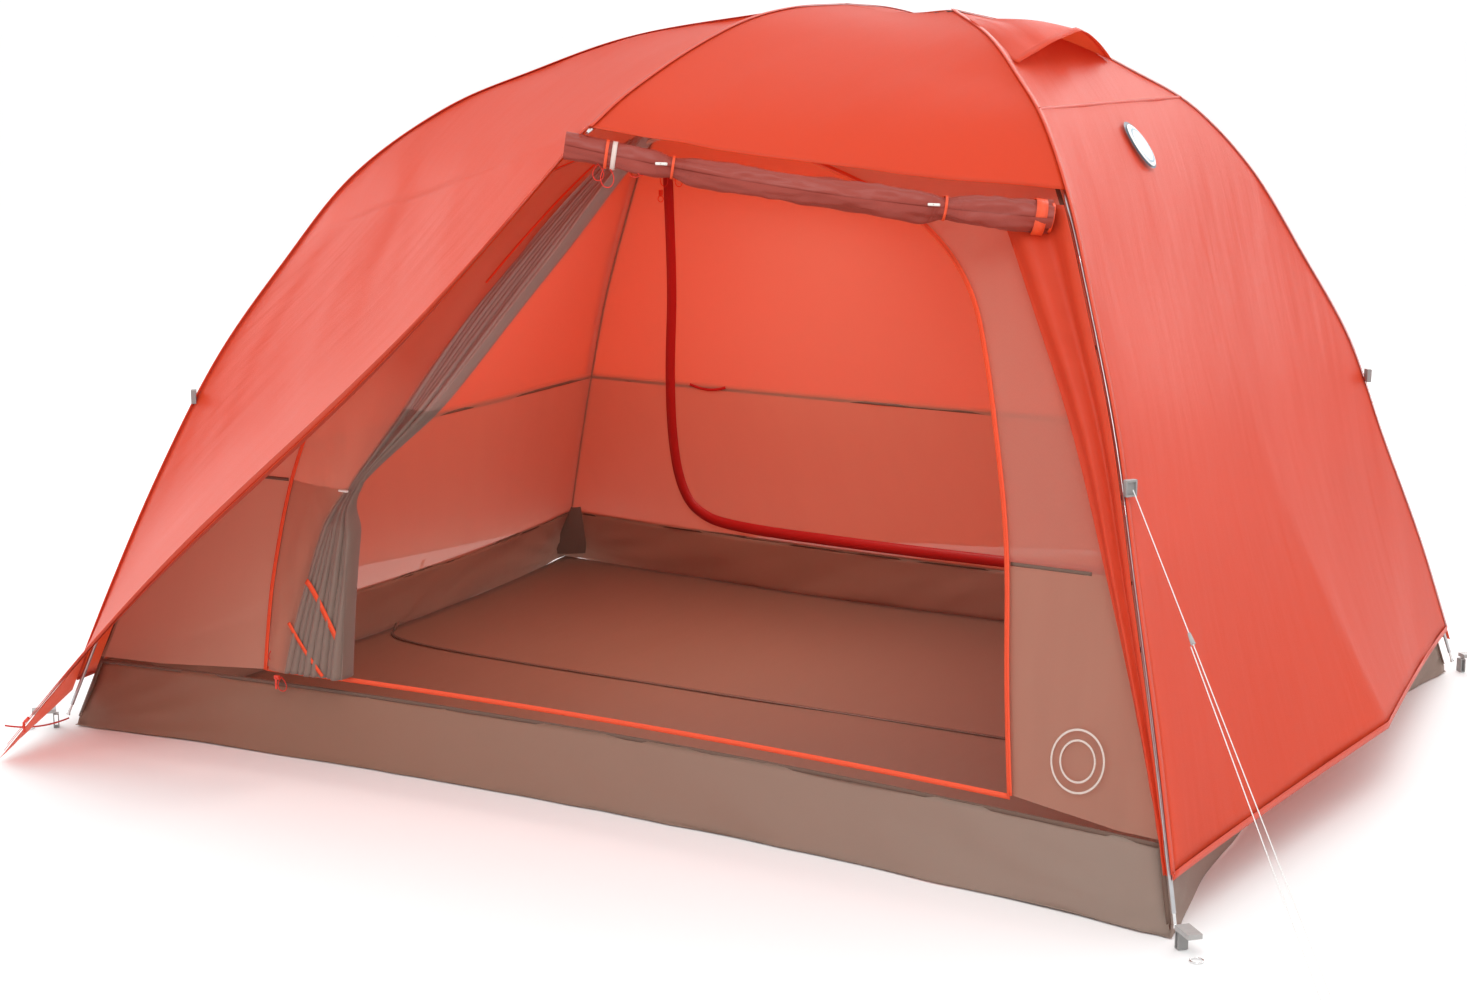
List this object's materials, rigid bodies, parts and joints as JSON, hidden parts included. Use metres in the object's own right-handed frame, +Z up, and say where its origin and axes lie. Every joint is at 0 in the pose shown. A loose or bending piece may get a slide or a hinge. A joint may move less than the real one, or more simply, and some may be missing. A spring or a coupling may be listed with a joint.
{
  "type": "family dome tent",
  "caption": "Family dome tent on a hubbed pole frame, with a bathtub floor, mesh inner walls, an orange fly, a half-open front vestibule, vents and a guyline.",
  "frame": {"origin": "on the ground, under the middle of the groundsheet", "axes": "+X along the front edge towards the right end, +Y from the front door to the back door, +Z up"},
  "size_m": [3.4433, 3.5524, 1.8013],
  "materials": {
    "polished_aluminium": "bright turned metal",
    "dark_plastic": "moulded",
    "pole_aluminium": "satin anodised tube",
    "tub_fabric": "coated grey nylon",
    "inner_mesh": "sheer mesh over a coated lower wall",
    "orange_zip": "coil zip on woven tape",
    "red_zip": "coil zip under a dark red flap",
    "slider_metal": "painted die cast with a cord pull",
    "roll_fabric": "coated underside of the fly cloth",
    "strip_fabric": "gathered fly cloth, sheer",
    "fly_fabric": "coated ripstop nylon",
    "grey_plastic": "moulded",
    "grey_webbing": "woven webbing",
    "toggle_plastic": "moulded",
    "guy_cord": "reflective braid"
  },
  "bodies": {
    "pitched_tent": {"back_door_zip": "red_zip", "brow_pole": "pole_aluminium", "brow_swivel": "dark_plastic", "buckle_back_left": "grey_plastic", "buckle_back_right": "grey_plastic", "buckle_front_left": "grey_plastic", "buckle_front_right": "grey_plastic", "corner_webbing": "grey_webbing", "fly_end_left": "fly_fabric", "fly_end_right": "fly_fabric", "fly_roof_back_left": "fly_fabric", "fly_roof_back_right": "fly_fabric", "fly_roof_front_left": "fly_fabric", "fly_roof_front_right": "fly_fabric", "fly_vestibule_back_left": "fly_fabric", "fly_vestibule_back_right": "fly_fabric", "fly_vestibule_front_left": "fly_fabric", "front_door": "inner_mesh", "front_door_zip": "orange_zip", "guy_tabs": "grey_webbing", "guyline": "guy_cord", "hub_left": "dark_plastic", "hub_right": "dark_plastic", "inner_wall_back": "inner_mesh", "inner_wall_front": "inner_mesh", "inner_wall_left": "inner_mesh", "inner_wall_right": "inner_mesh", "pole_back_left": "pole_aluminium", "pole_back_right": "pole_aluminium", "pole_clips": "dark_plastic", "pole_ferrules": "polished_aluminium", "pole_front_left": "pole_aluminium", "pole_front_right": "pole_aluminium", "pole_tips": "polished_aluminium", "ridge_pole": "pole_aluminium", "stake_loops": "polished_aluminium", "tub_floor": "tub_fabric", "tub_wall_back": "tub_fabric", "tub_wall_front": "tub_fabric", "tub_wall_left": "tub_fabric", "tub_wall_right": "tub_fabric", "vestibule_roll": "roll_fabric", "vestibule_strip": "strip_fabric", "vestibule_zip": "orange_zip"},
    "vestibule_slider": {"vestibule_slider": "slider_metal"},
    "front_door_slider": {"front_door_slider": "slider_metal"},
    "back_door_slider": {"back_door_slider": "slider_metal"},
    "vent_hood_right": {"vent_hood_right": "fly_fabric"},
    "vent_strut_right": {"vent_strut_right": "grey_plastic"},
    "guyline_tensioner": {"guyline_tensioner": "grey_plastic"},
    "roll_toggle_left": {"roll_toggle_left": "toggle_plastic"},
    "roll_toggle_right": {"roll_toggle_right": "toggle_plastic"},
    "door_toggle": {"door_toggle": "toggle_plastic"},
    "buckle_tongue_front_left": {"buckle_tongue_front_left": "grey_plastic"},
    "buckle_tongue_front_right": {"buckle_tongue_front_right": "grey_plastic"},
    "buckle_tongue_back_right": {"buckle_tongue_back_right": "grey_plastic"},
    "buckle_tongue_back_left": {"buckle_tongue_back_left": "grey_plastic"}
  },
  "joints": [
    {"name": "vestibule_zip_slide", "type": "slide", "parent": "pitched_tent", "child": "vestibule_slider", "axis": [0.7039, 0.1376, 0.6969], "range_m": [0, 1.75]},
    {"name": "front_door_zip_slide", "type": "slide", "parent": "pitched_tent", "child": "front_door_slider", "axis": [1, 0, 0], "range_m": [0, 0.3]},
    {"name": "back_door_zip_slide", "type": "slide", "parent": "pitched_tent", "child": "back_door_slider", "axis": [-0.1925, 0.3818, -0.904], "range_m": [0, 0.55]},
    {"name": "tensioner_slide", "type": "slide", "parent": "pitched_tent", "child": "guyline_tensioner", "axis": [-0.5342, 0.4634, 0.7071], "range_m": [0, 0.2]},
    {"name": "roll_toggle_left_turn", "type": "hinge", "parent": "pitched_tent", "child": "roll_toggle_left", "pos_m": [0.30038, -1.11623, 1.46856], "axis": [0, 1, 0], "range_deg": [-60, 60]},
    {"name": "roll_toggle_right_turn", "type": "hinge", "parent": "pitched_tent", "child": "roll_toggle_right", "pos_m": [0.78498, -0.82409, 1.38344], "axis": [0, 1, 0], "range_deg": [-60, 60]},
    {"name": "door_toggle_turn", "type": "hinge", "parent": "pitched_tent", "child": "door_toggle", "pos_m": [-0.67, -0.985, 0.662], "axis": [0, 1, 0], "range_deg": [-60, 60]},
    {"name": "vent_hood_right_hinge", "type": "hinge", "parent": "pitched_tent", "child": "vent_hood_right", "pos_m": [0.53929, 0, 1.77655], "axis": [0, 1, 0], "range_deg": [0, 6]},
    {"name": "vent_strut_right_hinge", "type": "hinge", "parent": "vent_hood_right", "child": "vent_strut_right", "pos_m": [0.7533, 0, 1.73476], "axis": [0, 1, 0], "range_deg": [0, 20]},
    {"name": "buckle_tongue_front_left_slide", "type": "slide", "parent": "pitched_tent", "child": "buckle_tongue_front_left", "axis": [-0.7071, -0.7071, 0], "range_m": [0, 0.03]},
    {"name": "buckle_tongue_front_right_slide", "type": "slide", "parent": "pitched_tent", "child": "buckle_tongue_front_right", "axis": [0.7071, -0.7071, 0], "range_m": [0, 0.03]},
    {"name": "buckle_tongue_back_right_slide", "type": "slide", "parent": "pitched_tent", "child": "buckle_tongue_back_right", "axis": [0.7071, 0.7071, 0], "range_m": [0, 0.03]},
    {"name": "buckle_tongue_back_left_slide", "type": "slide", "parent": "pitched_tent", "child": "buckle_tongue_back_left", "axis": [-0.7071, 0.7071, 0], "range_m": [0, 0.03]}
  ]
}
